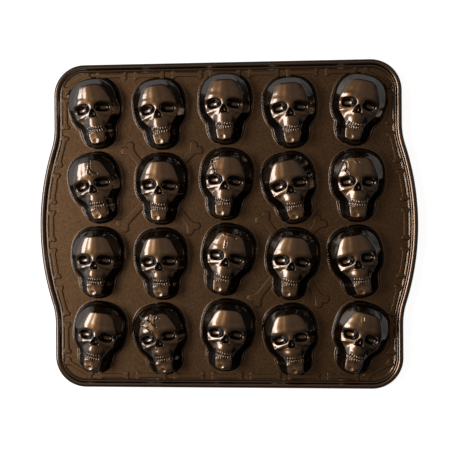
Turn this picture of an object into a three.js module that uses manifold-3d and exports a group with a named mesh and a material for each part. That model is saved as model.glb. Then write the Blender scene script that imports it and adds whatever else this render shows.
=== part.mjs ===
// Cast cake pan with twenty small skull cups, lying upside down on its rim, so that the
// outsides of the cups face up. Millimetres, +Z up. The grips lie along X, the tops of the
// skulls point towards +Y, and the origin is the middle of the plane that the rim rests on.
import * as THREE from 'three';
import * as BufferGeometryUtils from 'three/addons/utils/BufferGeometryUtils.js';
import Module from 'manifold-3d';

const wasm = await Module();
wasm.setup();

// Skull in plan: an oval for the cranium and a smaller one for the jaw. x is to the side and
// y towards the crown, from the middle of the skull's length.
const CRANIUM = { y: 6, halfWidth: 21.2, halfHeight: 22, squareness: 2.45 };
const JAW = { y: -12, halfWidth: 14.8, halfHeight: 16, squareness: 2.3 };

// Cup: a shell over the skull's plan
const CUP_HEIGHT = 17.5; // crown of the forehead above the deck
const JAW_HEIGHT = 7.5;
const CUP_WALL = 3;

// Blocks that stand out of the skull's slope: the front of the face, the muzzle with the
// teeth, and the chin
const FACE = { y: 0.5, halfWidth: 16.6, halfHeight: 11.5, height: 15 };
const MUZZLE = { y: -10, halfWidth: 9.6, halfHeight: 9.6, height: 14 };
const CHIN = { y: -19.2, halfWidth: 9, halfHeight: 7.4, height: 9.8 };

// Dents that fade into the slope, left and right
const CHEEK_HOLLOW = { x: 12.4, y: -9, halfWidth: 4, halfHeight: 3.8, depth: 3 };
const TEMPLE_HOLLOW = { x: 18.4, y: 5.5, halfWidth: 3.6, halfHeight: 7, depth: 2.2 };

// Pits cut into the face. z is the middle of a socket's rounded form above the deck.
const SOCKET = { x: 8.9, y: 2.2, z: 16.4, halfWidth: 6.4, halfHeight: 4.7, halfDepth: 6.4, turn: -10 };
const NOSE = { y: -1.7, radius: 4.6, depth: 3.6, draft: 1.6 }; // three-cornered, point upwards

// Rows and columns. Each column sits a little up or down, and each skull leans its own way
// about a point just below its eyes: degrees anticlockwise, back row first.
const COLUMN_GAP = 8.8; // clear deck between neighbouring skulls
const ROW_GAP = 3.3;
const COLUMN_STAGGER = [0.8, -0.5, 2.7, -0.8, 0.6];
const TURNS = [
  [9, 7, 0, 4, -12],
  [13, -2, -5, 12, -1],
  [-1, 3, -12, -6, 10.5],
  [-10, 11, -7, 8.5, -16],
];
const TURNING_POINT = -3.4;

// Deck and rim
const DECK_THICKNESS = 3;
const DECK_RECESS = 3.5; // the rim stands this much below the deck
const BEAD_RISE = 2; // and the rounded bead this much above it
const BEAD_WIDTH = 5;
const LEDGE_WIDTH = 3; // step of the rim that carries the deck's edge
const RIM_FOOT_CHAMFER = 0.8;
const SEAM = 0.3; // clearance between the deck's edge and the bead
const SIDE_LAND = 4.5; // deck between the outer columns' cells and the bead
const END_LAND = 2.2; // deck between the highest cell and the bead
const CELL_CHAMFER = 8; // the four corner cells are cut off to stay inside the rounded corners
const CORNER_RADIUS = 24.5;
const GRIP_BULGE = 12; // a grip's outermost point beyond the straight side
const GRIP_RADIUS = 205; // long bow of a grip
const GRIP_FILLET = 55; // hollow curve between a grip and the straight side

// Facets
const RAYS = 24; // directions round a cup
const OUTSIDE_RINGS = [0.4, 0.66, 0.86, 0.96]; // shares of the way to the edge
const INSIDE_RINGS = [0.72];
const INSIDE_STEP = 2; // the hollow takes every second direction
const SOCKET_SIDES = 8;
const SOCKET_RINGS = 4;
const FACE_MIDDLE = -2.6; // the rays start at the nose, level with the notch under the cheeks
const CORNER_STEPS = 6;
const GRIP_STEPS = 4;
const FILLET_STEPS = 3;

// What follows from the sizes above
const ROWS = TURNS.length;
const COLUMNS = COLUMN_STAGGER.length;
const SKULL_LENGTH = CRANIUM.y + CRANIUM.halfHeight - (JAW.y - JAW.halfHeight);
const COLUMN_PITCH = 2 * CRANIUM.halfWidth + COLUMN_GAP;
const ROW_PITCH = SKULL_LENGTH + ROW_GAP;
const SIDE_HALF_WIDTH = (COLUMNS / 2) * COLUMN_PITCH + SIDE_LAND + BEAD_WIDTH;
const HALF_DEPTH = (ROWS / 2) * ROW_PITCH + Math.max(...COLUMN_STAGGER) + END_LAND + BEAD_WIDTH;
const DECK_TOP = DECK_RECESS + DECK_THICKNESS;
const BEAD_TOP = DECK_TOP + BEAD_RISE;

// Outline of the pan moved inwards by inset: eight rounded arcs joined by the straight edges
// between them. Moving in shortens a bulging arc's radius and lengthens a hollow one's.
function panOutline(inset) {
  const gripX = SIDE_HALF_WIDTH + GRIP_BULGE - GRIP_RADIUS;
  const filletX = SIDE_HALF_WIDTH + GRIP_FILLET;
  const reach = GRIP_RADIUS + GRIP_FILLET;
  const filletY = Math.sqrt(reach ** 2 - (filletX - gripX) ** 2);
  const bow = Math.asin(filletY / reach);
  const points = [];
  const arc = (x, y, radius, from, to, steps) => {
    for (let i = 0; i <= steps; i++) {
      const a = from + ((to - from) * i) / steps;
      points.push(new THREE.Vector2(x + radius * Math.cos(a), y + radius * Math.sin(a)));
    }
  };
  arc(gripX, 0, GRIP_RADIUS - inset, 0, bow, GRIP_STEPS);
  points.pop();
  arc(filletX, filletY, GRIP_FILLET + inset, Math.PI + bow, Math.PI, FILLET_STEPS);
  arc(
    SIDE_HALF_WIDTH - CORNER_RADIUS,
    HALF_DEPTH - CORNER_RADIUS,
    CORNER_RADIUS - inset,
    0,
    Math.PI / 2,
    CORNER_STEPS,
  );
  const mirrored = points.map((p) => new THREE.Vector2(-p.x, p.y)).reverse();
  const half = [...points, ...mirrored];
  const front = half.slice(1, -1).map((p) => new THREE.Vector2(p.x, -p.y)).reverse();
  return [...half, ...front];
}

// Distance from the middle of an oval on the skull's middle line, 1 at its edge
function oval(x, y, { y: middle, halfWidth, halfHeight, squareness }) {
  const u = Math.abs(x / halfWidth) ** squareness;
  const v = Math.abs((y - middle) / halfHeight) ** squareness;
  return (u + v) ** (1 / squareness);
}

// Rounded block: 1 in the middle, falling ever more steeply to 0 at the oval's edge
function block(distance, flatness, steepness) {
  return (1 - Math.min(distance, 1) ** flatness) ** (1 / steepness);
}

// The larger of two heights with the crease between them filled over the given width
function blend(a, b, width) {
  const t = THREE.MathUtils.clamp(0.5 + (0.5 * (a - b)) / width, 0, 1);
  return b + (a - b) * t + width * t * (1 - t);
}

// Soft dent of depth 1 on both sides of the middle line
function dent(x, y, { x: middleX, y: middleY, halfWidth, halfHeight }) {
  const u = (Math.abs(x) - middleX) / halfWidth;
  const v = (y - middleY) / halfHeight;
  return Math.exp(-(u ** 2) - v ** 2);
}

// Height of the skull above the deck, before the sockets and the nose are cut
function skullHeight(x, y) {
  const cranium = block(oval(x, y, CRANIUM), 2.8, 1.6);
  const jaw = block(oval(x, y, JAW), 3.2, 1.9);
  let z = blend(CUP_HEIGHT * cranium, JAW_HEIGHT * jaw, 1);
  z -= TEMPLE_HOLLOW.depth * dent(x, y, TEMPLE_HOLLOW);
  for (const part of [FACE, MUZZLE, CHIN]) {
    z = blend(z, part.height * block(oval(x, y, { ...part, squareness: 2.5 }), 3, 2.4), 1);
  }
  z -= CHEEK_HOLLOW.depth * dent(x, y, CHEEK_HOLLOW);
  return Math.max(z, 0);
}

// Distance from the nose to the skull's edge in one direction, found by halving
function edgeDistance(direction) {
  let near = 0;
  let far = 2 * (CRANIUM.halfHeight + JAW.halfHeight);
  for (let i = 0; i < 40; i++) {
    const middle = (near + far) / 2;
    const x = middle * Math.cos(direction);
    const y = FACE_MIDDLE + middle * Math.sin(direction);
    if (Math.min(oval(x, y, CRANIUM), oval(x, y, JAW)) < 1) near = middle;
    else far = middle;
  }
  return near;
}

const directions = Array.from({ length: RAYS }, (_, i) => (i / RAYS) * 2 * Math.PI);
const edges = directions.map(edgeDistance);

// Point on the skull's plain form, a share of the way from the nose to the edge
function outsidePoint(ray, share) {
  const x = share * edges[ray] * Math.cos(directions[ray]);
  const y = FACE_MIDDLE + share * edges[ray] * Math.sin(directions[ray]);
  return new THREE.Vector3(x, y, share === 1 ? 0 : skullHeight(x, y));
}

// The same point on the inside: drawn in by the wall towards the nose and down by the wall at
// the crown, so that the wall is about as thick on the steep sides as on the face
function insidePoint(ray, share) {
  const p = outsidePoint(ray, share);
  const narrowed = (edges[ray] - CUP_WALL) / edges[ray];
  p.x *= narrowed;
  p.y = FACE_MIDDLE + (p.y - FACE_MIDDLE) * narrowed;
  p.z *= (CUP_HEIGHT - CUP_WALL) / CUP_HEIGHT;
  return p;
}

// A closed geometry as a solid that can be joined and cut
function solid(geometry) {
  const plain = geometry.clone();
  plain.deleteAttribute('normal');
  plain.deleteAttribute('uv');
  const merged = BufferGeometryUtils.mergeVertices(plain);
  return new wasm.Manifold(
    new wasm.Mesh({
      numProp: 3,
      vertProperties: new Float32Array(merged.attributes.position.array),
      triVerts: new Uint32Array(merged.index.array),
    }),
  );
}

function geometryOf(body) {
  const { vertProperties, triVerts } = body.getMesh();
  const geometry = new THREE.BufferGeometry();
  geometry.setAttribute('position', new THREE.BufferAttribute(vertProperties, 3));
  geometry.setIndex(new THREE.BufferAttribute(triVerts, 1));
  geometry.computeVertexNormals();
  return geometry;
}

// Dome on the skull's plan: rings of points from the middle out to the edge at deck height,
// then straight down to the foot. It takes every direction or every second one.
function dome(point, shares, foot, every) {
  const count = RAYS / every;
  const ring = (share) => Array.from({ length: count }, (_, i) => point(i * every, share));
  const edge = ring(1);
  const loops = [...shares.map(ring), edge, edge.map((p) => p.clone().setZ(foot))];
  const vertices = [point(0, 0), ...loops.flat(), new THREE.Vector3(0, FACE_MIDDLE, foot)];
  const at = (loop, i) => 1 + loop * count + (i % count);
  const faces = [];
  for (let i = 0; i < count; i++) {
    faces.push(0, at(0, i), at(0, i + 1));
    for (let loop = 0; loop + 1 < loops.length; loop++) {
      const [a, b] = [at(loop, i), at(loop, i + 1)];
      const [c, d] = [at(loop + 1, i + 1), at(loop + 1, i)];
      const left = i >= count / 4 && i < (3 * count) / 4; // mirrored facets keep a face even
      if (left) faces.push(a, d, b, d, c, b);
      else faces.push(a, d, c, a, c, b);
    }
    faces.push(at(loops.length - 1, i), vertices.length - 1, at(loops.length - 1, i + 1));
  }
  const geometry = new THREE.BufferGeometry().setFromPoints(vertices);
  geometry.setIndex(faces);
  return solid(geometry);
}

// Rounded form of a socket on the right of the face, or on the left with side -1, grown on all
// sides by a wall
function socket(side, wall) {
  const geometry = new THREE.SphereGeometry(1, SOCKET_SIDES, SOCKET_RINGS);
  geometry.rotateX(Math.PI / 2);
  const { halfWidth, halfHeight, halfDepth } = SOCKET;
  geometry.scale(halfWidth + wall, halfHeight + wall, halfDepth + wall);
  geometry.rotateZ(THREE.MathUtils.degToRad(side * SOCKET.turn));
  geometry.translate(side * SOCKET.x, SOCKET.y, SOCKET.z);
  return solid(geometry);
}

// Three-cornered pit of the nose, narrower at its floor
function nosePit(wall) {
  const top = skullHeight(0, NOSE.y) + 1;
  const height = NOSE.depth + 1 + wall;
  const radius = NOSE.radius + wall;
  const geometry = new THREE.CylinderGeometry(radius, radius - NOSE.draft, height, 3);
  geometry.rotateX(Math.PI / 2);
  geometry.rotateZ(Math.PI);
  geometry.translate(0, NOSE.y, top - height / 2);
  return solid(geometry);
}

// Outside of one cup, rooted in the middle of the deck's thickness
function cupOutside() {
  return dome(outsidePoint, OUTSIDE_RINGS, -DECK_THICKNESS / 2, 1)
    .subtract(socket(1, 0))
    .subtract(socket(-1, 0))
    .subtract(nosePit(0));
}

// Hollow of one cup, through the deck: the sockets and the nose bulge into it by the wall
function cupHollow() {
  return dome(insidePoint, INSIDE_RINGS, -2 * DECK_THICKNESS, INSIDE_STEP)
    .subtract(socket(1, CUP_WALL))
    .subtract(socket(-1, CUP_WALL))
    .subtract(nosePit(CUP_WALL));
}

// Lines between the columns, and between the rows of one column
const columnLine = (k) => (k - COLUMNS / 2) * COLUMN_PITCH;
const rowLine = (k, column) => (ROWS / 2 - k) * ROW_PITCH + COLUMN_STAGGER[column];

// Corners of a cup's stretch of deck, anticlockwise from the front right. The four cells in
// the corners of the pan lose their outer corner.
function cellCorners(row, column) {
  const [left, right] = [columnLine(column), columnLine(column + 1)];
  const [back, front] = [rowLine(row, column), rowLine(row + 1, column)];
  const corners = [];
  for (const [x, y] of [[right, front], [right, back], [left, back], [left, front]]) {
    const outerX = x === columnLine(0) || x === columnLine(COLUMNS);
    const outerY = y === rowLine(0, column) || y === rowLine(ROWS, column);
    if (outerX && outerY) {
      const alongX = new THREE.Vector2(x - Math.sign(x) * CELL_CHAMFER, y);
      const alongY = new THREE.Vector2(x, y - Math.sign(y) * CELL_CHAMFER);
      const upright = x * y > 0; // back right and front left come to their upright edge first
      corners.push(...(upright ? [alongY, alongX] : [alongX, alongY]));
    } else {
      corners.push(new THREE.Vector2(x, y));
    }
  }
  return corners;
}

// Where a cup stands: its frame in the pan, with its own lean about its turning point
function cupPlacement(row, column) {
  const lean = THREE.MathUtils.degToRad(TURNS[row][column]);
  const x = (columnLine(column) + columnLine(column + 1)) / 2;
  const y = (rowLine(row, column) + rowLine(row + 1, column)) / 2 + TURNING_POINT;
  const toPivot = new THREE.Matrix4().makeTranslation(0, -TURNING_POINT, 0);
  const place = new THREE.Matrix4().makeTranslation(x, y, DECK_TOP);
  return place.multiply(new THREE.Matrix4().makeRotationZ(lean)).multiply(toPivot);
}

// One cup with its stretch of deck
function cupGeometry(row, column) {
  const placement = cupPlacement(row, column);
  const turned = (body) => body.transform(placement.toArray());
  const cell = new THREE.Shape(cellCorners(row, column));
  const plate = new THREE.ExtrudeGeometry(cell, { depth: DECK_THICKNESS, bevelEnabled: false });
  plate.translate(0, 0, DECK_RECESS);
  return geometryOf(solid(plate).add(turned(outside)).subtract(turned(hollow)));
}

// Section of the rim as distance in from the edge and height, walked from the outer foot
function rimSection() {
  const shelf = BEAD_WIDTH + LEDGE_WIDTH;
  const rise = BEAD_TOP;
  return [
    [RIM_FOOT_CHAMFER, 0],
    [0, RIM_FOOT_CHAMFER],
    [0, rise * 0.5],
    [BEAD_WIDTH * 0.1, rise * 0.76],
    [BEAD_WIDTH * 0.3, rise * 0.94],
    [BEAD_WIDTH * 0.52, rise],
    [BEAD_WIDTH * 0.76, rise * 0.94],
    [BEAD_WIDTH * 0.93, rise * 0.78],
    [BEAD_WIDTH, DECK_TOP - SEAM],
    [BEAD_WIDTH, DECK_RECESS],
    [shelf, DECK_RECESS],
    [shelf, 0],
  ];
}

// Closed ring swept round the pan: one loop of vertices for each corner of the section
function rimGeometry() {
  const section = rimSection();
  const loops = section.map(([inset, z]) => panOutline(inset).map((p) => new THREE.Vector3(p.x, p.y, z)));
  const count = loops[0].length;
  const at = (loop, i) => (loop % loops.length) * count + (i % count);
  const faces = [];
  for (let loop = 0; loop < loops.length; loop++) {
    for (let i = 0; i < count; i++) {
      faces.push(at(loop, i), at(loop, i + 1), at(loop + 1, i + 1));
      faces.push(at(loop, i), at(loop + 1, i + 1), at(loop + 1, i));
    }
  }
  const geometry = new THREE.BufferGeometry().setFromPoints(loops.flat());
  geometry.setIndex(faces);
  geometry.computeVertexNormals();
  return geometry;
}

// Margin of the deck with the level part of the grips: the outline inside the bead, less the
// stepped block of cells. Its underside rests on the rim's ledge.
function borderGeometry() {
  const shape = new THREE.Shape(panOutline(BEAD_WIDTH + SEAM));
  const front = [];
  const back = [];
  for (let column = 0; column < COLUMNS; column++) {
    const along = (a, b) => a.x - b.x;
    const frontLine = rowLine(ROWS, column);
    const backLine = rowLine(0, column);
    front.push(...cellCorners(ROWS - 1, column).filter((p) => p.y < frontLine + CELL_CHAMFER * 1.01).sort(along));
    back.push(...cellCorners(0, column).filter((p) => p.y > backLine - CELL_CHAMFER * 1.01).sort(along));
  }
  shape.holes.push(new THREE.Path([...front, ...back.reverse()]));
  const geometry = new THREE.ExtrudeGeometry(shape, { depth: DECK_THICKNESS, bevelEnabled: false });
  geometry.translate(0, 0, DECK_RECESS);
  return geometry;
}

const pan = new THREE.Group();

function bronze(color, roughness) {
  return new THREE.MeshStandardMaterial({ color, roughness, metalness: 1 });
}

const outside = cupOutside();
const hollow = cupHollow();

const border = new THREE.Mesh(borderGeometry(), bronze(0x4f3a29, 0.5));
border.name = 'deck_border';
pan.add(border);

const rim = new THREE.Mesh(rimGeometry(), bronze(0x5d4430, 0.35));
rim.name = 'rim_bead';
pan.add(rim);

for (let row = 0; row < ROWS; row++) {
  for (let column = 0; column < COLUMNS; column++) {
    const cup = new THREE.Mesh(cupGeometry(row, column), bronze(0x6a4b33, 0.25));
    cup.name = `skull_cup_r${row + 1}c${column + 1}`;
    pan.add(cup);
  }
}

export default pan;
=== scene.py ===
"""Skull cake pan: fine surfaces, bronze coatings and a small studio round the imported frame.

The pan lies upside down on its rim, so the backs of the twenty cups face up. The frame gives
each cup's stretch of deck. The other main sizes are settings in metres, and the forms of the
face are tables in millimetres.
"""

import math

import bpy
import numpy as np
from bpy.props import FloatProperty, FloatVectorProperty, IntProperty, PointerProperty
from mathutils import Matrix, Vector


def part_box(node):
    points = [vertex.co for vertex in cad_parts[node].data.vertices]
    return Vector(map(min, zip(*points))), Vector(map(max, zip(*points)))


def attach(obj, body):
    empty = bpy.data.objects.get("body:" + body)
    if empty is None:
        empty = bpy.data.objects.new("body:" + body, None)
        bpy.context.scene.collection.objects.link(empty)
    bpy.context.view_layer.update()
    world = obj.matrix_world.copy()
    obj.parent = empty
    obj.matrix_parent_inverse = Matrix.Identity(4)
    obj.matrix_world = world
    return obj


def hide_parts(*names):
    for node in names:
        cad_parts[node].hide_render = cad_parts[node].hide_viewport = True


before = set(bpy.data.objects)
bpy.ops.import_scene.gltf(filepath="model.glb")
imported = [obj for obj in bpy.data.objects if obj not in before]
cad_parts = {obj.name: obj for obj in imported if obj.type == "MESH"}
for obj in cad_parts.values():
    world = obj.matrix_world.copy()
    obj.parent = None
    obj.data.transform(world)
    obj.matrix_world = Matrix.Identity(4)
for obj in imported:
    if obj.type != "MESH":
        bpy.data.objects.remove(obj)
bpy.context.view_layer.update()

bl_info = {
    "name": "Skull cake pan",
    "version": (1, 0, 0),
    "blender": (4, 5, 0),
    "location": "3D View > Sidebar > Pan",
    "description": "Builds the surfaces and finishes of a cast cake pan with skull cups",
    "category": "Add Mesh",
}

MM = 0.001

# The skull's plan in millimetres: x to the side, y towards the crown from the middle of its length.
# Each of its two ovals has a middle y, a half width, a half height and a squareness.
CRANIUM = (6.0, 21.2, 22.0, 2.45)
JAW = (-12.0, 14.8, 16.0, 2.3)
# The rays of a cup's grid start at the nose, and the skull leans about a point of the nose
FACE_MIDDLE = -2.6
TURNING_POINT = -3.4
# Lean of each skull in degrees, anticlockwise, by rows and columns
TURNS = (
    (9, 7, 0, 4, -12),
    (13, -2, -5, 12, -1),
    (-1, 3, -12, -6, 10.5),
    (-10, 11, -7, 8.5, -16),
)

# Half width of the skull's front, and its drop below the crown, at places from the chin's point
# to the crown
FRONT_WIDTH = (
    (-30, 1.5), (-27.2, 3.2), (-24.5, 5.2), (-20, 6.2), (-15.7, 6.8), (-12, 8.0),
    (-8, 10.8), (-4.5, 14.0), (3, 15.6), (7.7, 14.5), (20.0, 9.2), (26, 6.0),
)
FRONT_DROP = (
    (-30, -7.0), (-27.5, -4.8), (-25.2, -3.8), (-18, -2.9), (-14, -2.0), (-12, -1.8), (-6.5, -1.4),
    (-3.0, -1.0), (0, -0.9), (4, -0.75), (9, -0.1), (14, -0.1), (20, -0.6), (26, -2.5),
)
# How far to both sides these lines are averaged, on the front and beyond its edge
NEAR_REACH = 1.7
WIDE_REACH = 5
# Rise of the walls of cranium and jaw over a whole oval distance, and of the jaw's flank over
# a millimetre
WALL_SLOPE = 90
FLANK_SLOPE = 3

# Soft bumps of the face: rise, middle x and y, half width, half height, turn
BUMPS = (
    (0.5, 7.5, 8.0, 5.0, 2.2, 0),  # brows
    (0.4, 10.8, -3.6, 4.4, 1.5, 16),  # cheekbones
    (0.6, 0, 3.2, 2.2, 3.4, 0),  # bridge between the eyes
)
# An eye socket's middle, and its half width, half height, squareness and turn
SOCKET_PLACE = (8.3, 1.9)
SOCKET_OVAL = (5.8, 3.5, 2.5, -7)
NOSE_TOP = 1.2
NOSE_FOOT = -4.9
# Middle of the upper teeth, and both rows: shift of the wave, middle, half height, pitch
UPPER_TEETH = -13.6
TOOTH_ROWS = ((0.0, 0.0, 0.95, 1.95), (0.5, -2.3, 0.95, 1.8))
CHIN_POINT = -23.6
# Cracks in the foreheads, as paths of points on the skull's plan
CRACKS = {
    "r2c1": (((2.8, 20), (1.5, 15.3), (2.8, 11.5), (6, 9)), ((1.5, 15.3), (-0.5, 11), (1.6, 9))),
    "r2c3": (((-7.3, 18.6), (-11.2, 16.6), (-9.4, 11), (-7.9, 6.5)), ((-11.2, 16.6), (-12.6, 12))),
    "r2c5": (
        ((-11.5, 17.9), (-9, 16.6), (-8.3, 12.8), (-9.6, 10.2), (-7.7, 7.8)),
        ((-2.5, 18.6), (0.1, 16.6)),
    ),
    "r3c3": (((-2.1, 14), (-2.1, 9.5)), ((-4.5, 19.6), (2, 19.3), (4.4, 17.5))),
    "r4c2": (
        ((-10.6, 14.8), (-5.1, 17.2), (-2.5, 20.4)),
        ((-10.3, 12.6), (-6.4, 11.3), (-4.4, 7.9)),
        ((-5.1, 17.2), (-2.5, 14.8), (0.1, 11.3)),
        ((1.4, 18.9), (0.1, 15.2), (3.5, 17.2)),
    ),
    "r4c5": (((-2.6, 17.4), (-1.8, 14.8)),),
}
# The rings of a cup crowd towards its edge by this power
RING_CROWDING = 1.35

# A bone's knobs as shares of its shaft's width: their radius, and their way out to the side
CHAIN_KNOB = (0.56, 0.52)
CROSS_KNOB = (0.55, 0.55)
# Points round a bone's outline
CHAIN_POINTS = 76
CROSS_POINTS = 124
# The skull that lies over each pair of crossed bones, and the middles of the bones' four ends;
# the first end faces the last, and the second faces the third
CROSSES = {
    "r2c2": ((-77, 60.1), (-24.3, 60.2), (-81.5, 1.4), (-27.1, -1.4)),
    "r3c4": ((29.8, 4.5), (72.8, 1.1), (23.1, -58.3), (73.9, -59.1)),
}
# Way that a crossed bone runs on inside the skull's edge
BONE_HIDDEN = 1.5

# Grain of a coating: height of its bump in metres, and its share of the colour
DECK_GRAIN = (0.0001, 0.8)
RIM_GRAIN = (0.00002, 0.15)
# Share of the deck's grain that the skulls show, in the colour and in the bump
SKULL_GRAIN = (0.25, 0.12)
# Clear coat: weight and roughness
DECK_COAT = (0.15, 0.35)
RIM_COAT = (0.7, 0.12)
SKULL_COAT = (1.0, 0.14)
# Slants of the surface between which the bronze fades, and its shares there: painted shade that darkens
# the steep walls of the skulls, in part standing for the flop of a metallic coating
FLOP_AND_WALL_SHADE = (0.05, 0.21, 1.0, 0.1)

KEY_LIGHT_PLACE = (-0.95, 0.05, 0.85)
KEY_LIGHT_SIZE = (0.8, 0.4)
# Place of the camera in metres, and the turns in degrees that make up its view
CAMERA_PLACE = (0.0558, -0.0022, 0.7004)
CAMERA_TURNS = (("Z", 0.391), ("X", 0.079), ("Y", -4.417))
# Light that the floor adds for the camera and for reflections
FLOOR_LIFT = 0.92
FLOOR_REFLECTED = 0.1
ROOM_TINT = (1, 0.88, 0.78, 1)
WHITE = (1, 1, 1, 1)


# Settings


def length(name, description, value):
    return FloatProperty(
        name=name, description=description, default=value,
        unit="LENGTH", subtype="DISTANCE", precision=4,
    )


def colour(name, description, value):
    return FloatVectorProperty(
        name=name, description=description, default=value,
        subtype="COLOR", size=3, min=0, max=1,
    )


def share(name, description, value):
    return FloatProperty(
        name=name, description=description, default=value,
        min=0, max=1, subtype="FACTOR",
    )


class PanCupSettings(bpy.types.PropertyGroup):
    """Sizes of one skull cup"""

    height: length("Height", "Crown of the forehead above the deck", 0.0170)
    wall: length("Wall", "Thickness of the cup's wall", 0.003)
    fillet: length("Fillet", "Radius where the skull meets the deck", 0.0013)
    lip: length("Lip", "Radius of the mouth's edge", 0.001)
    socket_depth: length("Socket depth", "Depth of an eye socket", 0.0046)
    nose_depth: length("Nose depth", "Depth of the nose opening", 0.0038)
    tooth_rise: length("Tooth rise", "Height of a tooth above the gaps", 0.0007)
    crack_depth: length("Crack depth", "Depth of the cracks in the foreheads", 0.0009)
    rays: IntProperty(name="Rays", description="Directions round a cup", default=240, min=48)
    rings: IntProperty(name="Rings", description="Rings from the nose to a cup's edge", default=92, min=24)


class PanRimSettings(bpy.types.PropertyGroup):
    """Sizes of the rim, which is swept round the pan's outline"""

    half_width: length("Half width", "Middle of the pan to its straight side", 0.1375)
    half_depth: length("Half depth", "Middle of the pan to its front or back", 0.1285)
    corner_radius: length("Corner radius", "Radius of the pan's corners", 0.0245)
    grip_bulge: length("Grip bulge", "Outermost point of a grip beyond the straight side", 0.012)
    grip_radius: length("Grip radius", "Long bow of a grip", 0.205)
    grip_fillet: length("Grip fillet", "Hollow curve beside a grip", 0.055)
    deck_top: length("Deck top", "Deck above the plane that the rim rests on", 0.0065)
    deck_recess: length("Deck recess", "Underside of the deck above that plane", 0.0035)
    bead_width: length("Bead width", "Width of the rounded bead", 0.005)
    bead_rise: length("Bead rise", "Bead above the deck", 0.002)
    ledge_width: length("Ledge width", "Width of the ledge under the deck", 0.003)


class PanBoneSettings(bpy.types.PropertyGroup):
    """Sizes of the flat bones that stand out of the deck"""

    chain_inset: length("Chain inset", "Middle of the chain of bones in from the pan's edge", 0.0094)
    chain_length: length("Bone length", "Length of a bone in the chain", 0.0255)
    chain_shaft: length("Bone shaft", "Width of its shaft", 0.0034)
    chain_rise: length("Bone rise", "Height of the chain's bones above the deck", 0.0006)
    cross_shaft: length("Crossed shaft", "Width of the shaft of a crossed bone", 0.0062)
    cross_rise: length("Crossed rise", "Height of the crossed bones above the deck", 0.0006)
    chain_count: IntProperty(name="Bones", description="Bones in the chain", default=32, min=8)


class PanFinishSettings(bpy.types.PropertyGroup):
    """Colours and gloss of the coating"""

    cup_colour: colour("Cup colour", "Glossy bronze of the skulls", (0.335, 0.172, 0.07))
    deck_colour: colour("Deck colour", "Satin bronze of the deck", (0.225, 0.119, 0.053))
    rim_colour: colour("Rim colour", "Bronze of the rim", (0.32, 0.185, 0.1))
    cup_roughness: share("Cup roughness", "Roughness of the skulls", 0.42)
    deck_roughness: share("Deck roughness", "Roughness of the deck", 0.5)
    rim_roughness: share("Rim roughness", "Roughness of the rim", 0.3)


class PanStageSettings(bpy.types.PropertyGroup):
    """Light, room, floor and camera"""

    key_power: FloatProperty(
        name="Key light", description="Large soft light on the left", default=6.5, unit="POWER"
    )
    sky_low: FloatProperty(
        name="Sky low", description="Brightness of the room low on the left", default=1.0, min=0
    )
    sky_top: FloatProperty(
        name="Sky top", description="Brightness of the room overhead", default=0.12, min=0
    )
    floor_colour: colour("Floor colour", "Pale floor", (0.8, 0.8, 0.8))
    focal_length: FloatProperty(
        name="Focal length", description="Camera lens", default=69.46, unit="CAMERA"
    )


# Shapes as arrays


def blend_up(a, b, width):
    """The larger of a and b, with the crease between them filled over the given width."""
    t = np.clip(0.5 + 0.5 * (a - b) / width, 0, 1)
    return b + (a - b) * t + width * t * (1 - t)


def ramp(start, end, value):
    """0 up to start and 1 from end on, with the cubic 3t2 - 2t3 between them."""
    t = np.clip((value - start) / (end - start), 0, 1)
    return t * t * (3 - 2 * t)


def oval(x, y, half_width, half_height, squareness, turn=0.0):
    """Distance from an oval's middle, 1 at its edge: the turned and scaled x and y, each to the
    power of the squareness, added, and the root taken."""
    c, s = math.cos(math.radians(turn)), math.sin(math.radians(turn))
    u, v = x * c + y * s, y * c - x * s
    powers = np.abs(u / half_width) ** squareness + np.abs(v / half_height) ** squareness
    return powers ** (1 / squareness)


def block(distance, flatness, steepness):
    """Rounded block: one less distance to the flatness, to the power of one over steepness."""
    return (1 - np.minimum(distance, 1) ** flatness) ** (1 / steepness)


def profile(value, points, reach=NEAR_REACH):
    """Soft line through points: straight legs between them, averaged over the reach to both sides
    with the weights (1 - t2)2."""
    steps = np.linspace(-1, 1, 23)[1:-1]
    weights = (1 - steps**2) ** 2
    legs = np.transpose(points)
    near = [weight * np.interp(value + reach * step, *legs) for step, weight in zip(steps, weights)]
    return sum(near) / weights.sum()


def turn_matrix(angle):
    """Turns points of a plane anticlockwise by an angle in radians."""
    c, s = math.cos(angle), math.sin(angle)
    return np.array([[c, -s], [s, c]])


def way_out(inside, far, halvings=40):
    """Way along each ray up to where it is no longer inside, found by halving the way to far."""
    near = np.zeros(len(far))
    for _ in range(halvings):
        middle = (near + far) / 2
        within = inside(middle)
        near, far = np.where(within, middle, near), np.where(within, far, middle)
    return near


def lump(x, y, half_width, half_height, turn=0.0):
    """Soft bump of height 1: the bell curve of the oval distance."""
    return np.exp(-oval(x, y, half_width, half_height, 2, turn) ** 2)


def skull_plan(x, y):
    """Oval distances of the cranium and the jaw, and their smooth lesser one, 1 at the skull's edge."""
    cranium = oval(x, y - CRANIUM[0], *CRANIUM[1:])
    jaw = oval(x, y - JAW[0], *JAW[1:])
    return cranium, jaw, -blend_up(-cranium, -jaw, 0.06)


def path_distance(x, y, path):
    """Distance to a path of straight legs: the least of the distances to each leg's nearest point."""
    best = np.full(np.shape(x), 1e9)
    for (ax, ay), (bx, by) in zip(path, path[1:]):
        dx, dy = bx - ax, by - ay
        t = np.clip(((x - ax) * dx + (y - ay) * dy) / (dx * dx + dy * dy), 0, 1)
        best = np.minimum(best, np.hypot(x - ax - t * dx, y - ay - t * dy))
    return best


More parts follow.
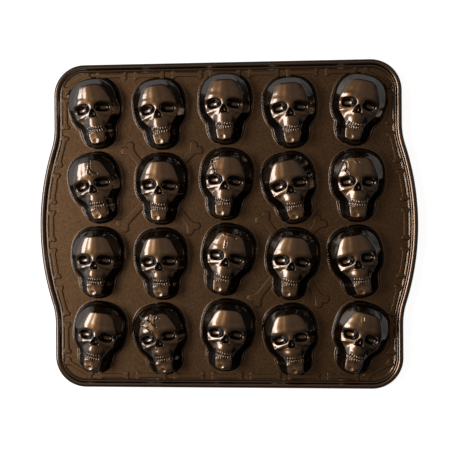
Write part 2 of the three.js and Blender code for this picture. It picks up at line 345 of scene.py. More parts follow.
def front_height(x, y, crown):
    """Height of the skull's front, in millimetres.

    Above the eyes the front is bent about the middle line by a second and a fourth power. From
    the eyes down it is a wedge with a rounded ridge, and below the nose a low roof. Past the edge
    of the front, given by its half widths, it turns over into steeper sides and a steeper top.
    """
    side = np.abs(x)
    half = profile(y, FRONT_WIDTH)
    taper = np.clip(half / 14.6, 0.5, 1.1) ** ramp(-4, 4, y)
    inner = -blend_up(-side, -half, 1.5)
    across = inner / taper
    bend = taper * (0.0095 * across**2 + 2.75e-5 * across**4 + 0.45 * ramp(1.5, 6.5, across))
    wedge = 0.28 * (np.sqrt(inner**2 + 1) - 1) + 0.009 * inner**2
    roof = 0.16 * (np.sqrt(inner**2 + 0.5) - 0.7) + 0.005 * inner**2 + 1.3 * ramp(1, 8, inner)
    roof = roof + (0.0003 * inner**4 - roof) * ramp(-15, -18, y)
    away = ramp(0, 5, side - half)
    near_drop, wide_drop = profile(y, FRONT_DROP), profile(y, FRONT_DROP, WIDE_REACH)
    z = crown + near_drop + (wide_drop - near_drop) * away
    below_brow = ramp(6.5, 0.5, y)
    below_nose = ramp(-2.8 + 1.5 * away, -5.0 - 1.5 * away, y)
    z = z - bend + (bend - wedge) * below_brow + (wedge - roof) * below_nose
    cheek_fall = 0.2 * np.clip(-4 - y, 0, 7) * ramp(5.5, 9.5, side)
    upper_jaw = 0.5 * lump(side - 4.5, y + 9.3, 4.5, 3.0)
    z = z - cheek_fall + upper_jaw
    half = half + (profile(y, FRONT_WIDTH, WIDE_REACH) - half) * away
    beyond = blend_up(side - half, 0.8 * (y - 20.2), 4.0)
    steepness = 0.9 + 0.5 * ramp(9, 0, y) + 0.1 * ramp(-8, -14, y)
    return z - steepness * (beyond + np.sqrt(beyond**2 + 0.15)) / 2


def wall_height(side, y, cranium, jaw):
    """Height of the steep walls of the cranium and the jaw, which rise inwards from their edges."""
    flank = FLANK_SLOPE * (JAW[1] * block(np.abs(y - JAW[0]) / JAW[2], JAW[3], JAW[3]) - side)
    flank = -blend_up(-flank, -WALL_SLOPE * (1 - np.minimum(jaw, 1)), 1.0)
    return blend_up(WALL_SLOPE * (1 - np.minimum(cranium, 1)), flank, 3.0) + 0.8


def skull_height(x, y, cup, cracks=()):
    """Height of the skull over its plan, all in millimetres.

    The lesser of the front and the walls, blended, plus bell-shaped brows, cheekbones and bridge,
    less the sockets and the nose. The teeth are a wave along each row, the chin has a ridge and a
    point with a dish, and the cracks are narrow grooves with raised lips along their paths.
    """
    side = np.abs(x)
    crown = cup.height / MM
    cranium, jaw, edge = skull_plan(x, y)
    z = -blend_up(-front_height(x, y, crown), -wall_height(side, y, cranium, jaw), 3.0)
    for rise, middle_x, middle_y, half_width, half_height, turn in BUMPS:
        z = z + rise * lump(side - middle_x, y - middle_y, half_width, half_height, turn)
    # sockets: the face is cut by a bowl whose floor rises towards the nose, with a rounded rim
    eye = oval(side - SOCKET_PLACE[0], y - SOCKET_PLACE[1], *SOCKET_OVAL)
    z = z + 0.15 * np.exp(-(((eye - 1.25) / 0.3) ** 2)) * (1 - 0.9 * ramp(0.5, 4.5, y))
    floor = crown - 3.2 - cup.socket_depth / MM + 0.25 * (8.9 - side) + 2.0 * eye**2
    z = -blend_up(-z, -floor - 6.5 * np.maximum(eye - 0.45, 0) ** 1.4, 1.8)
    # three-cornered opening of the nose, with a nostril's edge on both sides
    width = 0.8 + 2.9 * np.clip((NOSE_TOP - y) / 5.8, 0, 1) ** 0.8
    beyond_ends = np.maximum((y - NOSE_TOP) / 2 + 1, (NOSE_FOOT - y) / 2 + 1)
    nose = blend_up(side / width, beyond_ends, 0.4)
    z = z - cup.nose_depth / MM * (1 - ramp(0.1, 1.2, nose))
    z = z + 0.45 * lump(side - 2.6, y + 4.2, 1.0, 1.5)
    z = z + teeth(x, y, cup.tooth_rise / MM)
    # ridge of the chin, and its point
    ridge = 0.15 * (lump(x, 0, 1.5, 1) - 1)
    z = z + ridge * ramp(-15.5, -18, y) * (1 - ramp(-19.5, -22.5, y))
    z = z + lump(x - 0.9, y - CHIN_POINT, 3.2, 2.8)
    dish = crown - 3.15 + 0.4 * x + 0.1 * (x * x + (y - CHIN_POINT) ** 2)
    z = np.where(np.hypot(x, y - CHIN_POINT) < 4, -blend_up(-z, -dish, 0.3), z)
    for path in cracks:
        distance = path_distance(x, y, path)
        groove = cup.crack_depth / MM * np.exp(-((distance / 0.42) ** 2))
        lips = 0.22 * np.exp(-(((distance - 0.95) / 0.45) ** 2))
        z = z - groove + lips
    # foot of the wall, which also fills the notch under the cheeks
    return blend_up(z, 0.9 * block(edge, 12, 2.2), 0.8)


def teeth(x, y, rise):
    """Two curved rows of teeth, and the line between them: a cosine wave along each row, times a
    flat-topped bell across it."""
    side = np.abs(x)
    arch = UPPER_TEETH + 0.02 * x * x
    z = np.zeros(np.shape(x))
    for shift, middle, half, pitch in TOOTH_ROWS:
        wave = 0.5 - 0.5 * np.cos(2 * np.pi * (side / pitch + shift))
        across = np.exp(-(np.abs((y - arch - middle) / half) ** 2.6))
        z = z + rise * (wave - 0.35) * across * (1 - ramp(5.6, 7.2, side))
    line = np.exp(-(((y - arch + 1.15) / 0.35) ** 2))
    return z - 0.3 * line * (1 - ramp(5.8, 7.2, side))


def edge_distance(angles):
    """Way from the nose to the skull's edge in each direction."""

    def inside(way):
        return skull_plan(way * np.cos(angles), FACE_MIDDLE + way * np.sin(angles))[2] < 1

    return way_out(inside, np.full(len(angles), 60.0))


def pan_outline(rim, inset, fineness=1.0):
    """The pan's outline moved in by inset: arcs of the grips, their fillets and the corners, joined by
    straight edges and mirrored into all four quarters. Anticlockwise points in millimetres."""
    width, depth = rim.half_width / MM, rim.half_depth / MM
    radius, bow_radius, hollow = rim.corner_radius / MM, rim.grip_radius / MM, rim.grip_fillet / MM
    grip_x = width + rim.grip_bulge / MM - bow_radius
    reach = bow_radius + hollow
    fillet_y = math.sqrt(reach**2 - (width + hollow - grip_x) ** 2)
    bow = math.asin(fillet_y / reach)

    def arc(x, y, r, start, end, count):
        a = np.linspace(start, end, max(int(count * fineness), 3))
        return np.stack([x + r * np.cos(a), y + r * np.sin(a)], -1)

    side = np.concatenate([
        arc(grip_x, 0, bow_radius - inset, 0, bow, 40),
        arc(width + hollow, fillet_y, hollow + inset, math.pi + bow, math.pi, 20)[1:],
    ])
    corner = arc(width - radius, depth - radius, radius - inset, 0, math.pi / 2, 26)
    upright = np.linspace(side[-1], corner[0], 12)[1:-1]
    level = np.linspace(corner[-1], (0, depth - inset), 48)[1:]
    quarter = np.concatenate([side, upright, corner, level])
    left = (quarter * (-1, 1))[::-1][1:]
    half = np.concatenate([quarter, left])
    return np.concatenate([half, (half * (1, -1))[::-1][1:-1]])


# Meshes


def grid_mesh(name, loops, first=None, last=None, sharp=(), masks=None):
    """Mesh of a grid of points: each loop is closed, neighbouring loops are joined by quads, and
    the first and last loops close in a fan to a pole, or join each other where no poles are given.
    The edges of the sharp loops are kept crisp. Coordinates are in millimetres."""
    rings, count = loops.shape[:2]
    points = loops.reshape(-1, 3)
    k = np.arange(rings if first is None else rings - 1)[:, None]
    i = np.arange(count)[None, :]
    a, b = k * count + i, k * count + (i + 1) % count
    c, d = ((k + 1) % rings) * count + (i + 1) % count, ((k + 1) % rings) * count + i
    faces = np.stack([a, d, c, b], -1).reshape(-1, 4).tolist()
    if first is not None:
        points = np.concatenate([points, [first], [last]])
        ends = (i[0], (i[0] + 1) % count)
        start = np.stack([np.full(count, rings * count), *ends], -1)
        base = (rings - 1) * count
        finish = np.stack([np.full(count, rings * count + 1), base + ends[1], base + ends[0]], -1)
        faces += start.tolist() + finish.tolist()
    mesh = bpy.data.meshes.new(name)
    mesh.from_pydata(points * MM, [], faces)
    mesh.polygons.foreach_set("use_smooth", np.ones(len(mesh.polygons), bool))
    if sharp:
        pairs = np.zeros(len(mesh.edges) * 2, int)
        mesh.edges.foreach_get("vertices", pairs)
        ring = pairs.reshape(-1, 2) // count
        crisp = (ring[:, 0] == ring[:, 1]) & np.isin(ring[:, 0], sharp)
        mesh.attributes.new("sharp_edge", "BOOLEAN", "EDGE").data.foreach_set("value", crisp)
    for label, values in (masks or {}).items():
        mesh.attributes.new(label, "FLOAT", "POINT").data.foreach_set("value", values.astype(np.float32))
    mesh.update()
    return mesh


def add_piece(name, mesh, material, replaced=()):
    """Links a finished mesh as a piece that rides on the pan."""
    piece = bpy.data.objects.new(name, mesh)
    bpy.context.scene.collection.objects.link(piece)
    mesh.materials.append(material)
    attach(piece, "root")
    if replaced:
        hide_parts(*replaced)


def cell_of(node):
    """A cup's stretch of deck from the node's own vertices: the outward normals of its edges, how
    far the edges reach along them, and its corners."""
    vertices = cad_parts[node].data.vertices
    co = np.zeros(len(vertices) * 3, np.float32)
    vertices.foreach_get("co", co)
    co = np.unique(np.round(co.reshape(-1, 3).astype(float) / MM, 3), axis=0)
    low = co[:, 2].min()
    base = co[np.abs(co[:, 2] - low) < 0.01][:, :2]
    lo, hi = base.min(0), base.max(0)
    corners = np.array([p for p in base if np.isclose(p, lo).any() or np.isclose(p, hi).any()])
    middle = (lo + hi) / 2
    order = np.argsort(np.arctan2(*(corners - middle).T[::-1]))
    corners = corners[order]
    following = np.roll(corners, -1, 0)
    run = following - corners
    normals = np.stack([run[:, 1], -run[:, 0]], -1) / np.linalg.norm(run, axis=1)[:, None]
    return normals, (normals * corners).sum(1), corners


def ring_steps(count):
    """Shares of the way out from the nose at which the rings lie."""
    return 1 - (1 - np.linspace(0, 1, count + 1)[1:]) ** RING_CROWDING


def cup_mesh(name, turn, cup, rim):
    """One skull cup with its stretch of deck as a single closed skin.

    The grid runs along rays from the nose. Going out, the loops climb down the skull's height
    function, a quarter-round fillet and the level deck to the cell's edge; going back they pass
    the underside, the quarter-round lip of the mouth and the inside, which is the same height
    function drawn in and down by the wall.
    """
    normals, reaches, corners = cell_of("skull_cup_" + name)
    count = cup.rays
    angles = np.arange(count) * 2 * np.pi / count
    edges = edge_distance(angles)
    spin = turn_matrix(math.radians(turn))
    pivot = plan_middle(name)
    cracks = CRACKS.get(name, ())
    deck, under = rim.deck_top / MM, rim.deck_recess / MM

    def at(way):
        """Points on the skull's plan a way out from the nose along each ray, and their plan in
        the pan."""
        x, y = way * np.cos(angles), FACE_MIDDLE + way * np.sin(angles)
        plan = np.stack([x, y - TURNING_POINT], -1) @ spin.T + pivot
        return x, y, plan

    # where each ray leaves the cell; the rays nearest to the corners go exactly there
    start = np.array([0, FACE_MIDDLE - TURNING_POINT]) @ spin.T + pivot
    heading = np.stack([np.cos(angles), np.sin(angles)], -1) @ spin.T
    along = heading @ normals.T
    room = np.where(along > 1e-9, (reaches - normals @ start) / np.maximum(along, 1e-9), 1e9).min(1)
    border = start + heading * room[:, None]
    for corner in corners:
        border[np.argmin(np.hypot(*(border - corner).T))] = corner
    loops, skull_mask = [], []

    def ring(plan, z, mask):
        """Adds a loop of points, with its share of the skull's finish."""
        loops.append(np.concatenate([plan, np.broadcast_to(z, (count,))[:, None]], 1))
        skull_mask.append(np.broadcast_to(mask, (count,)))

    fillet = np.minimum(cup.fillet / MM, 0.85 * (room - edges))
    for s in ring_steps(cup.rings):
        x, y, plan = at(s * edges)
        ring(plan, deck + np.maximum(skull_height(x, y, cup, cracks), fillet), 1)
    for a in np.linspace(0, np.pi / 2, 7)[1:]:
        plan = at(edges + fillet * (1 - np.cos(a)))[2]
        ring(plan, deck + fillet * (1 - np.sin(a)), 1 - 0.5 * np.sin(a))
    foot = at(edges + fillet)[2]
    for way in (0.12, 0.55):
        ring(foot + way * (border - foot), deck, 0)
    ring(border, deck, 0)
    top_edge = len(loops) - 1
    ring(border, under, 0)
    # underside, lip and inside
    wall, lip = cup.wall / MM, cup.lip / MM
    mouth = edges - wall
    ring(0.5 * border + 0.5 * at(mouth + lip)[2], under, 0)
    for a in np.linspace(0, np.pi / 2, 5):
        plan = at(mouth + lip * (1 - np.sin(a)))[2]
        ring(plan, under + lip * (1 - np.cos(a)), 0.5 * np.sin(a))
    crown = cup.height / MM
    lowered = (crown - wall) / crown
    for s in ring_steps(cup.rings // 2)[::-1]:
        x, y, _ = at(s * edges)
        height = skull_height(x, y, cup, cracks) * lowered
        ring(at(s * mouth)[2], np.maximum(deck + height, under + lip * 1.2), 1)
    nose = float(skull_height(np.zeros(1), np.full(1, FACE_MIDDLE), cup, cracks)[0])
    poles = [[*start, deck + nose * scale] for scale in (1, lowered)]
    masks = {"skull_share": np.concatenate([np.concatenate(skull_mask), [1, 1]])}
    return grid_mesh("skull_" + name, np.array(loops), *poles, (top_edge, top_edge + 1), masks)


def plan_middle(name):
    """Turning point of a cup in the pan: the middle of its cell along X and Y, moved to the nose."""
    lo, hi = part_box("skull_cup_" + name)
    return np.array([(lo.x + hi.x) / 2, (lo.y + hi.y) / 2]) / MM + (0, TURNING_POINT)


def rim_profile(rim):
    """Section of the rim as distance in from the edge and height: foot, outer wall, a bead whose
    top is half an ellipse, a narrow groove, a fine raised step on the deck's margin, and the ledge."""
    deck, width, rise = rim.deck_top / MM, rim.bead_width / MM, rim.bead_rise / MM
    under, shelf = rim.deck_recess / MM, (rim.bead_width + rim.ledge_width) / MM
    top = deck + rise
    foot = np.array([[1.4, 0], [0.8, 0], [0.45, 0.1], [0.1, 0.45], [0, 0.8], [0, 2.4]])
    a = np.linspace(0, np.pi, 25)
    bead = np.stack([width / 2 * (1 - np.cos(a)), top - 4.2 + 4.2 * np.sin(a) ** 0.8], -1)
    bead = bead[bead[:, 1] > np.where(bead[:, 0] < width / 2, 0, deck + 0.15)]
    b = np.linspace(0, 1, 13)
    step_line = np.stack([width + 0.7 + 1.5 * b, deck + 0.05 + 0.5 * np.sin(np.pi * b) ** 1.5], -1)
    groove = np.array([[width + 0.1, deck + 0.03], [width + 0.4, deck + 0.02]])
    below_deck = [[width + 2.5, deck - 0.06], [width + 0.1, deck - 0.1]]
    ledge = [[width, under], [shelf, under], [shelf, 0]]
    return np.concatenate([foot, bead, groove, step_line, below_deck, ledge])


def rim_mesh(rim):
    """Ring swept round the pan: the outline moved in by each point of the rim's section."""
    loops = []
    for inset, height in rim_profile(rim):
        outline = pan_outline(rim, inset)
        loops.append(np.column_stack([outline, np.full(len(outline), height)]))
    # the ledge and the ends under the deck have crisp edges
    return grid_mesh("rim", np.array(loops)[::-1], sharp=(0, 1, 2, 3, 4))


def bone_outline(length_mm, shaft, knob, spread, count):
    """Outline of a bone along X: rays leave a middle line, square to it along the shaft and in a fan
    round each end, up to the edge of the shaft's capsule joined smoothly with two knobs at each end.
    Returns the rays' starts and their ends."""
    half = length_mm / 2 - knob - spread * 0.2
    quarter = np.pi / 2
    straight = np.linspace(-half, half, count // 4)
    fan = np.linspace(quarter, -quarter, count // 4 + 2)[1:-1]
    above, ends_of = np.full(len(straight), quarter), np.full(len(fan), half)
    starts = np.concatenate([straight, ends_of, straight[::-1], -ends_of])
    turn = np.concatenate([above, fan, -above, fan - np.pi])

    def inside(way):
        x, y = starts + way * np.cos(turn), way * np.sin(turn)
        shaft_edge = np.hypot(x - np.clip(x, -half, half), y) - shaft / 2
        knobs = np.hypot(np.abs(x) - half - spread * 0.2, np.abs(y) - spread) - knob
        return -blend_up(-shaft_edge, -knobs, knob * 0.35) < 0

    reach = way_out(inside, np.full(len(starts), knob * 4), 30)
    line = np.stack([starts, np.zeros(len(starts))], -1)
    return line, line + np.stack([reach * np.cos(turn), reach * np.sin(turn)], -1)


def bone_loops(line, outline, place, angle, rise, deck, stop=None):
    """Loops of a low flat bone: shares of the way from its middle line to its outline, with the
    height 1 less share to the 7, square rooted. The last loops go down into the deck and inwards.
    A bone with a stop is drawn up short of it."""
    spin = turn_matrix(angle)
    shares = np.array([0.4, 0.6, 0.75, 0.84, 0.91, 0.955, 0.985, 1.0])
    heights = rise * np.sqrt(1 - shares**7)
    loops = []
    for k, h in zip([*shares, 1.0, 0.4], [*heights, -0.25, -0.25]):
        p = line + (outline - line) * k
        if stop is not None:
            p = np.stack([stopped(p[:, 0], stop(p[:, 1])), p[:, 1]], -1)
        loops.append(np.concatenate([p @ spin.T + place, np.full((len(p), 1), deck + h)], 1))
    return np.array(loops)


def join_grids(name, grids):
    """One mesh of several flat bodies. Each is a row of closed loops joined by quads. The first and
    last loops are closed by quads between each point and its mirror across the bone."""
    faces, points, base = [], [], 0
    for loops in grids:
        rings, count = loops.shape[:2]
        k, i = np.arange(rings - 1)[:, None], np.arange(count)[None, :]
        a, b = k * count + i, k * count + (i + 1) % count
        faces.append(np.stack([a, b, b + count, a + count], -1).reshape(-1, 4) + base)
        quarter = count // 4
        tip = 3 * quarter + quarter // 2
        k = np.arange(count // 2)
        near, following = (tip + k) % count, (tip + k + 1) % count
        far, beyond = (tip - k) % count, (tip - k - 1) % count
        cap = np.stack([far, beyond, following, near], -1)
        faces.append(cap[1:-1] + base)
        faces.append(cap[1:-1, ::-1] + base + (rings - 1) * count)
        for flip, start in ((1, base), (-1, base + (rings - 1) * count)):
            faces.append(cap[:1, [0, 1, 2]][:, ::flip] + start)
            faces.append(cap[-1:, [0, 1, 3]][:, ::flip] + start)
        points.append(loops.reshape(-1, 3))
        base += rings * count
    mesh = bpy.data.meshes.new(name)
    faces = [face for group in faces for face in group.tolist()]
    mesh.from_pydata(np.concatenate(points) * MM, [], faces)
    mesh.polygons.foreach_set("use_smooth", np.ones(len(mesh.polygons), bool))
    mesh.update()
    return mesh


# Finishes


def feed(tree, entry, value):
    """Gives a node's input its value: a number, a colour or another node's output."""
    if isinstance(value, bpy.types.NodeSocket):
        tree.links.new(value, entry)
    else:
        entry.default_value = value


def map_range(tree, value, low, high, first, last):
    """Straight ramp in a node: first up to low, and last from high on."""
    span = tree.nodes.new("ShaderNodeMapRange")
    labels = ("Value", "From Min", "From Max", "To Min", "To Max")
    for label, given in zip(labels, (value, low, high, first, last)):
        feed(tree, span.inputs[label], given)
    return span.outputs["Result"]


def mixed(tree, factor, a, b, kind="RGBA"):
    """Mix in a node: a where the factor is 0 and b where it is 1."""
    mix = tree.nodes.new("ShaderNodeMix")
    mix.data_type = kind
    for label, given in (("Factor", factor), ("A", a), ("B", b)):
        feed(tree, mix.inputs[label], given)
    return mix.outputs["Result"]


def calculated(tree, operation, *values):
    """Math node on two or three values."""
    node = tree.nodes.new("ShaderNodeMath")
    node.operation = operation
    for entry, given in zip(node.inputs, values):
        feed(tree, entry, given)
    return node.outputs["Value"]


def socket(group, label, kind, value=None, output=False):
    """Adds an input, or an output, to a node group."""
    way = "OUTPUT" if output else "INPUT"
    made = group.interface.new_socket(name=label, in_out=way, socket_type="NodeSocket" + kind)
    if value is not None:
        made.default_value = value


def coating_grain():
    """Node group: speckle of the sprayed coating. Gives a mask of fine grain and a mask of wide
    clouds."""
    name = "coating_grain"
    if name in bpy.data.node_groups:
        return bpy.data.node_groups[name]
    group = bpy.data.node_groups.new(name, "ShaderNodeTree")
    socket(group, "Grain Scale", "Float", 1000.0)
    socket(group, "Cloud Scale", "Float", 28.0)
    socket(group, "Grain", "Float", output=True)
    socket(group, "Clouds", "Float", output=True)
    nodes, links = group.nodes, group.links
    start, end = nodes.new("NodeGroupInput"), nodes.new("NodeGroupOutput")
    place = nodes.new("ShaderNodeTexCoord")
    fine, wide = nodes.new("ShaderNodeTexNoise"), nodes.new("ShaderNodeTexNoise")
    fine.inputs["Detail"].default_value = 1.5
    wide.inputs["Detail"].default_value = 3
    for texture, label in ((fine, "Grain Scale"), (wide, "Cloud Scale")):
        links.new(place.outputs["Object"], texture.inputs["Vector"])
        links.new(start.outputs[label], texture.inputs["Scale"])
    links.new(fine.outputs["Fac"], end.inputs["Grain"])
    links.new(wide.outputs["Fac"], end.inputs["Clouds"])
    return group


def bronze_material(name, base, grain_of, coat, skull=None):
    """Bronze metallic coating: the grain shades the colour and raises a fine bump, and the clouds
    vary the roughness. With skull settings, the skull_share attribute turns the deck's satin into
    the skull's gloss. Base and skull are a colour and a roughness."""
    material = bpy.data.materials.new(name)
    material.use_nodes = True
    tree = material.node_tree
    nodes, links = tree.nodes, tree.links
    nodes.clear()
    out = nodes.new("ShaderNodeOutputMaterial")
    shader = nodes.new("ShaderNodeBsdfPrincipled")
    links.new(shader.outputs["BSDF"], out.inputs["Surface"])
    grain = nodes.new("ShaderNodeGroup")
    grain.node_tree = coating_grain()
    shader.inputs["Metallic"].default_value = 1.0
    shader.inputs["Specular Tint"].default_value = (0.2, 0.2, 0.2, 1)
    shader.inputs["Coat Weight"].default_value = coat[0]
    shader.inputs["Coat Roughness"].default_value = coat[1]
    shader.inputs["Coat IOR"].default_value = 2.0

    def shades(value, amount):
        """A darker to a lighter shade of a colour along the grain."""
        dark = (*(c * (1 - amount) for c in value), 1)
        light = (*(min(c * (1 + amount), 1) for c in value), 1)
        return mixed(tree, grain.outputs["Grain"], dark, light)

    def rough(value, amount):
        """A roughness that varies by an amount with the clouds."""
        return map_range(tree, grain.outputs["Clouds"], 0, 1, value - amount, value + amount)

    grain_height, spread = grain_of
    tint, gloss = shades(base[0], spread), rough(base[1], 0.06)
    height = grain.outputs["Grain"]
    if skull is not None:
        attribute = nodes.new("ShaderNodeAttribute")
        attribute.attribute_name = "skull_share"
        mask = attribute.outputs["Fac"]
        tint = mixed(tree, mask, tint, shades(skull[0], spread * SKULL_GRAIN[0]))
        gloss = mixed(tree, mask, gloss, rough(skull[1], 0.03), "FLOAT")
        for label, on_deck, on_skull in zip(("Coat Weight", "Coat Roughness"), DECK_COAT, coat):
            links.new(map_range(tree, mask, 0, 1, on_deck, on_skull), shader.inputs[label])
        height = calculated(tree, "MULTIPLY", map_range(tree, mask, 0, 1, 1, SKULL_GRAIN[1]), height)
    # painted shade: the colour dies away on slopes seen at a low angle, which darkens the skulls' steep
    # walls; in part this is the flop of a coating whose flakes lie flat
    facing = nodes.new("ShaderNodeLayerWeight")
    facing.inputs["Blend"].default_value = 0.5
    shaded = nodes.new("ShaderNodeVectorMath")
    shaded.operation = "SCALE"
    links.new(tint, shaded.inputs["Vector"])
    # painted shade on the walls, partly metallic flop
    links.new(map_range(tree, facing.outputs["Facing"], *FLOP_AND_WALL_SHADE), shaded.inputs["Scale"])
    bump = nodes.new("ShaderNodeBump")
    bump.inputs["Distance"].default_value = grain_height
    bump.inputs["Strength"].default_value = 1.0
    links.new(height, bump.inputs["Height"])
    links.new(shaded.outputs["Vector"], shader.inputs["Base Color"])
    links.new(gloss, shader.inputs["Roughness"])
    links.new(bump.outputs["Normal"], shader.inputs["Normal"])
    return material


def finish_of(kind):
    """The coating for deck, rim or cup, made once from the settings."""
    if kind in bpy.data.materials:
        return bpy.data.materials[kind]
    finish = bpy.context.scene.pan_finish
    deck = (tuple(finish.deck_colour), finish.deck_roughness)
    if kind == "cup_bronze_coat":
        skull = (tuple(finish.cup_colour), finish.cup_roughness)
        return bronze_material(kind, deck, DECK_GRAIN, SKULL_COAT, skull)
    if kind == "rim_bronze_coat":
        rim = (tuple(finish.rim_colour), finish.rim_roughness)
        return bronze_material(kind, rim, RIM_GRAIN, RIM_COAT)
    return bronze_material(kind, deck, DECK_GRAIN, DECK_COAT)


# Operators


class PAN_OT_skull_cups(bpy.types.Operator):
    """Builds the twenty skull cups, each with its stretch of deck"""

    bl_idname = "pan.skull_cups"
    bl_label = "Skull cups"

    def execute(self, context):
        cup, rim = context.scene.pan_cup, context.scene.pan_rim
        for r, row in enumerate(TURNS):
            for c, turn in enumerate(row):
                name = f"r{r + 1}c{c + 1}"
                mesh = cup_mesh(name, turn, cup, rim)
                finish = finish_of("cup_bronze_coat")
                add_piece("skull_" + name, mesh, finish, ["skull_cup_" + name])
        return {"FINISHED"}


class PAN_OT_rim(bpy.types.Operator):
    """Builds the rim with its bead, groove and step line"""

    bl_idname = "pan.rim"
    bl_label = "Rim"

    def execute(self, context):
        mesh = rim_mesh(context.scene.pan_rim)
        add_piece("rim", mesh, finish_of("rim_bronze_coat"), ["rim_bead"])
        return {"FINISHED"}


class PAN_OT_deck_border(bpy.types.Operator):
    """Coats the level border of the deck, which keeps the frame's own shape"""

    bl_idname = "pan.deck_border"
    bl_label = "Deck border"

    def execute(self, context):
        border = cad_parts["deck_border"]
        border.data.materials.clear()
        border.data.materials.append(finish_of("deck_bronze_coat"))
        return {"FINISHED"}


class PAN_OT_bone_chain(bpy.types.Operator):
    """Lays the chain of low bones round the deck's margin"""

    bl_idname = "pan.bone_chain"
    bl_label = "Bone chain"

    def execute(self, context):
        rim, bones = context.scene.pan_rim, context.scene.pan_bones
        path = pan_outline(rim, bones.chain_inset / MM, 3)
        path = np.concatenate([path, path[:1]])
        run = np.concatenate([[0], np.cumsum(np.hypot(*np.diff(path, axis=0).T))])
        size = bones.chain_length / MM
        shaft = bones.chain_shaft / MM
        rise, deck = bones.chain_rise / MM, rim.deck_top / MM
        line, outline = bone_outline(size, shaft, *(shaft * k for k in CHAIN_KNOB), CHAIN_POINTS)

        def point(s):
            """Point of the path a way round the pan."""
            s = s % run[-1]
            return np.array([np.interp(s, run, path[:, 0]), np.interp(s, run, path[:, 1])])

        grids = []
        for k in range(bones.chain_count):
            s = run[-1] * k / bones.chain_count
            a, b = point(s - size * 0.46), point(s + size * 0.46)
            angle = math.atan2(*(b - a)[::-1])
            grids.append(bone_loops(line, outline, (a + b) / 2, angle, rise, deck))
        mesh = join_grids("bone_chain", grids)
        add_piece("bone_chain", mesh, finish_of("deck_bronze_coat"))
        return {"FINISHED"}


class PAN_OT_crossed_bones(bpy.types.Operator):
    """Lays the two pairs of crossed bones, which end against the skulls that lie over them"""

    bl_idname = "pan.crossed_bones"
    bl_label = "Crossed bones"

    def execute(self, context):
        rim, bones = context.scene.pan_rim, context.scene.pan_bones
        shaft = bones.cross_shaft / MM
        rise, deck = bones.cross_rise / MM, rim.deck_top / MM
        knob = [shaft * k for k in CROSS_KNOB]
        grids = []
        for name, tips in CROSSES.items():
            turn = TURNS[int(name[1]) - 1][int(name[3]) - 1]
            for tip, other in zip(np.array(tips), np.array(tips[::-1])):
                way = tip - other
                angle = math.atan2(way[1], way[0])
                middle = (tip + other) / 2
                line, outline = bone_outline(
                    np.hypot(*way) + 2 * shaft * 0.8, shaft, *knob, CROSS_POINTS
                )
                stop = skull_stop(name, turn, middle, angle, shaft)
                grids.append(bone_loops(line, outline, middle, angle, rise, deck, stop))
        mesh = join_grids("crossed_bones", grids)
        add_piece("crossed_bones", mesh, finish_of("deck_bronze_coat"))
        return {"FINISHED"}


def stopped(along, stop):
    """Ways along a bone, with what lies before its stop drawn up to a hundredth of its distance."""
    return np.where(along < stop, stop + 0.01 * (along - stop), along)


def skull_stop(name, turn, middle, angle, shaft):
    """Where lines along a bone meet the wall of the skull over it: for each distance across the
    bone, the way along it to a point just inside the skull's edge."""
    spin = turn_matrix(math.radians(turn))
    pivot = plan_middle(name)
    across = np.linspace(-shaft, shaft, 33)
    c, s = math.cos(angle), math.sin(angle)

    def inside(way):
        place = middle + np.stack([way * c - across * s, way * s + across * c], -1)
        local = (place - pivot) @ spin
        return skull_plan(local[:, 0], local[:, 1] + TURNING_POINT)[2] < 1

    edge = way_out(inside, np.full(len(across), 40.0))
    return lambda y: np.interp(y, across, edge - BONE_HIDDEN)


class PAN_OT_stage(bpy.types.Operator):
    """Sets up the pale floor, the room, the soft light and the camera"""

    bl_idname = "pan.stage"
    bl_label = "Stage"

    def execute(self, context):
        stage = context.scene.pan_stage
        add_floor(stage)
        add_world(stage)
        add_light("key_light", stage.key_power, KEY_LIGHT_PLACE, KEY_LIGHT_SIZE)
        camera = bpy.data.cameras.new("camera")
        camera.lens = stage.focal_length
        camera.sensor_width = 36
        camera.clip_end = 20
        holder = bpy.data.objects.new("camera", camera)
        bpy.context.scene.collection.objects.link(holder)
        turned = Matrix.Identity(3)
        for axis, degrees in CAMERA_TURNS:
            turned = turned @ Matrix.Rotation(math.radians(degrees), 3, axis)
        holder.matrix_world = Matrix.Translation(CAMERA_PLACE) @ turned.transposed().to_4x4()
        context.scene.camera = holder
        context.scene.view_settings.view_transform = "Standard"
        return {"FINISHED"}


def add_light(name, power, place, size):
    """Rectangular lamp that faces the middle of the pan."""
    lamp = bpy.data.lights.new(name, "AREA")
    lamp.shape = "RECTANGLE"
    lamp.size, lamp.size_y = size
    lamp.energy = power
    holder = bpy.data.objects.new(name, lamp)
    holder.location = place
    holder.rotation_euler = (-Vector(place)).to_track_quat("-Z", "Y").to_euler()
    bpy.context.scene.collection.objects.link(holder)


def add_floor(stage):
    """Pale floor: a level sheet that is lifted almost to white for the camera, and a little in
    reflections."""
    mesh = bpy.data.meshes.new("floor")
    mesh.from_pydata([(-4, -4, 0), (4, -4, 0), (4, 4, 0), (-4, 4, 0)], [], [(0, 1, 2, 3)])
    floor = bpy.data.objects.new("floor", mesh)
    bpy.context.scene.collection.objects.link(floor)
    material = bpy.data.materials.new("pale_floor")
    material.use_nodes = True
    tree = material.node_tree
    nodes, links = tree.nodes, tree.links
    nodes.clear()
    out = nodes.new("ShaderNodeOutputMaterial")
    both = nodes.new("ShaderNodeAddShader")
    plain = nodes.new("ShaderNodeBsdfDiffuse")
    plain.inputs["Color"].default_value = (*stage.floor_colour, 1)
    lift = nodes.new("ShaderNodeEmission")
    ray = nodes.new("ShaderNodeLightPath")
    glossy = calculated(tree, "MULTIPLY", ray.outputs["Is Glossy Ray"], FLOOR_REFLECTED)
    amount = calculated(tree, "MULTIPLY_ADD", ray.outputs["Is Camera Ray"], FLOOR_LIFT, glossy)
    links.new(amount, lift.inputs["Strength"])
    links.new(plain.outputs["BSDF"], both.inputs[0])
    links.new(lift.outputs["Emission"], both.inputs[1])
    links.new(both.outputs["Shader"], out.inputs["Surface"])
    mesh.materials.append(material)


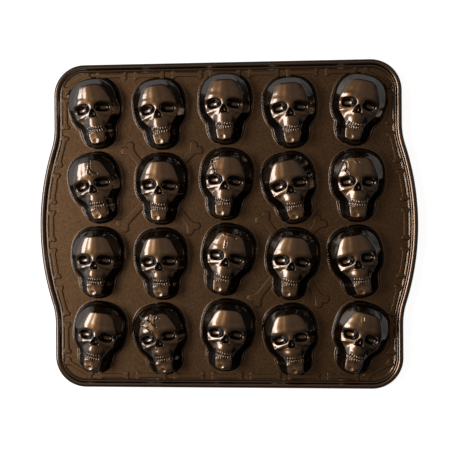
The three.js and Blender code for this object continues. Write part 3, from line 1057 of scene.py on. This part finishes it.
def add_world(stage):
    """Pale room: white for the camera. For the object it has a warm tint, and is pale low on the
    left, dim overhead and dark elsewhere, made of straight ramps across and upwards."""
    world = bpy.data.worlds.new("pale_room")
    bpy.context.scene.world = world
    world.use_nodes = True
    tree = world.node_tree
    nodes, links = tree.nodes, tree.links
    nodes.clear()
    out = nodes.new("ShaderNodeOutputWorld")
    sky = nodes.new("ShaderNodeBackground")
    place = nodes.new("ShaderNodeTexCoord")
    split = nodes.new("ShaderNodeSeparateXYZ")
    links.new(place.outputs["Generated"], split.inputs["Vector"])
    x, y, z = split.outputs
    left = map_range(tree, x, -0.75, -0.35, stage.sky_low, 0)
    low = map_range(tree, z, 0.3, 0.6, 1, 0)
    glow = calculated(tree, "MULTIPLY", left, low)
    glow = calculated(tree, "MULTIPLY", glow, map_range(tree, y, -0.5, -0.1, 0.15, 1))
    top = map_range(tree, z, 0.2, 0.65, 0.015, stage.sky_top)
    above = calculated(tree, "MULTIPLY", top, map_range(tree, y, -0.4, 0.1, 0.4, 1))
    strength = calculated(tree, "ADD", glow, above)
    camera = nodes.new("ShaderNodeLightPath").outputs["Is Camera Ray"]
    links.new(mixed(tree, camera, strength, 1.0, "FLOAT"), sky.inputs["Strength"])
    links.new(mixed(tree, camera, ROOM_TINT, WHITE), sky.inputs["Color"])
    links.new(sky.outputs["Background"], out.inputs["Surface"])


class PAN_PT_panel(bpy.types.Panel):
    """Lists the settings and the steps"""

    bl_label = "Skull cake pan"
    bl_idname = "PAN_PT_panel"
    bl_space_type = "VIEW_3D"
    bl_region_type = "UI"
    bl_category = "Pan"

    def draw(self, context):
        for holder in ("pan_cup", "pan_rim", "pan_bones", "pan_finish", "pan_stage"):
            settings = getattr(context.scene, holder)
            box = self.layout.box()
            for name in settings.bl_rna.properties.keys():
                if name not in ("rna_type", "name"):
                    box.prop(settings, name)
        for step in STEPS:
            self.layout.operator(step.bl_idname)


STEPS = (
    PAN_OT_skull_cups,
    PAN_OT_rim,
    PAN_OT_deck_border,
    PAN_OT_bone_chain,
    PAN_OT_crossed_bones,
    PAN_OT_stage,
)
SETTINGS = {
    "pan_cup": PanCupSettings,
    "pan_rim": PanRimSettings,
    "pan_bones": PanBoneSettings,
    "pan_finish": PanFinishSettings,
    "pan_stage": PanStageSettings,
}


def register():
    for name, group in SETTINGS.items():
        bpy.utils.register_class(group)
        setattr(bpy.types.Scene, name, PointerProperty(type=group))
    for step in (*STEPS, PAN_PT_panel):
        bpy.utils.register_class(step)


def unregister():
    for step in (*STEPS, PAN_PT_panel):
        bpy.utils.unregister_class(step)
    for name, group in SETTINGS.items():
        delattr(bpy.types.Scene, name)
        bpy.utils.unregister_class(group)


def main():
    register()
    bpy.ops.pan.skull_cups()
    bpy.ops.pan.rim()
    bpy.ops.pan.deck_border()
    bpy.ops.pan.bone_chain()
    bpy.ops.pan.crossed_bones()
    bpy.ops.pan.stage()


if __name__ == "__main__":
    main()
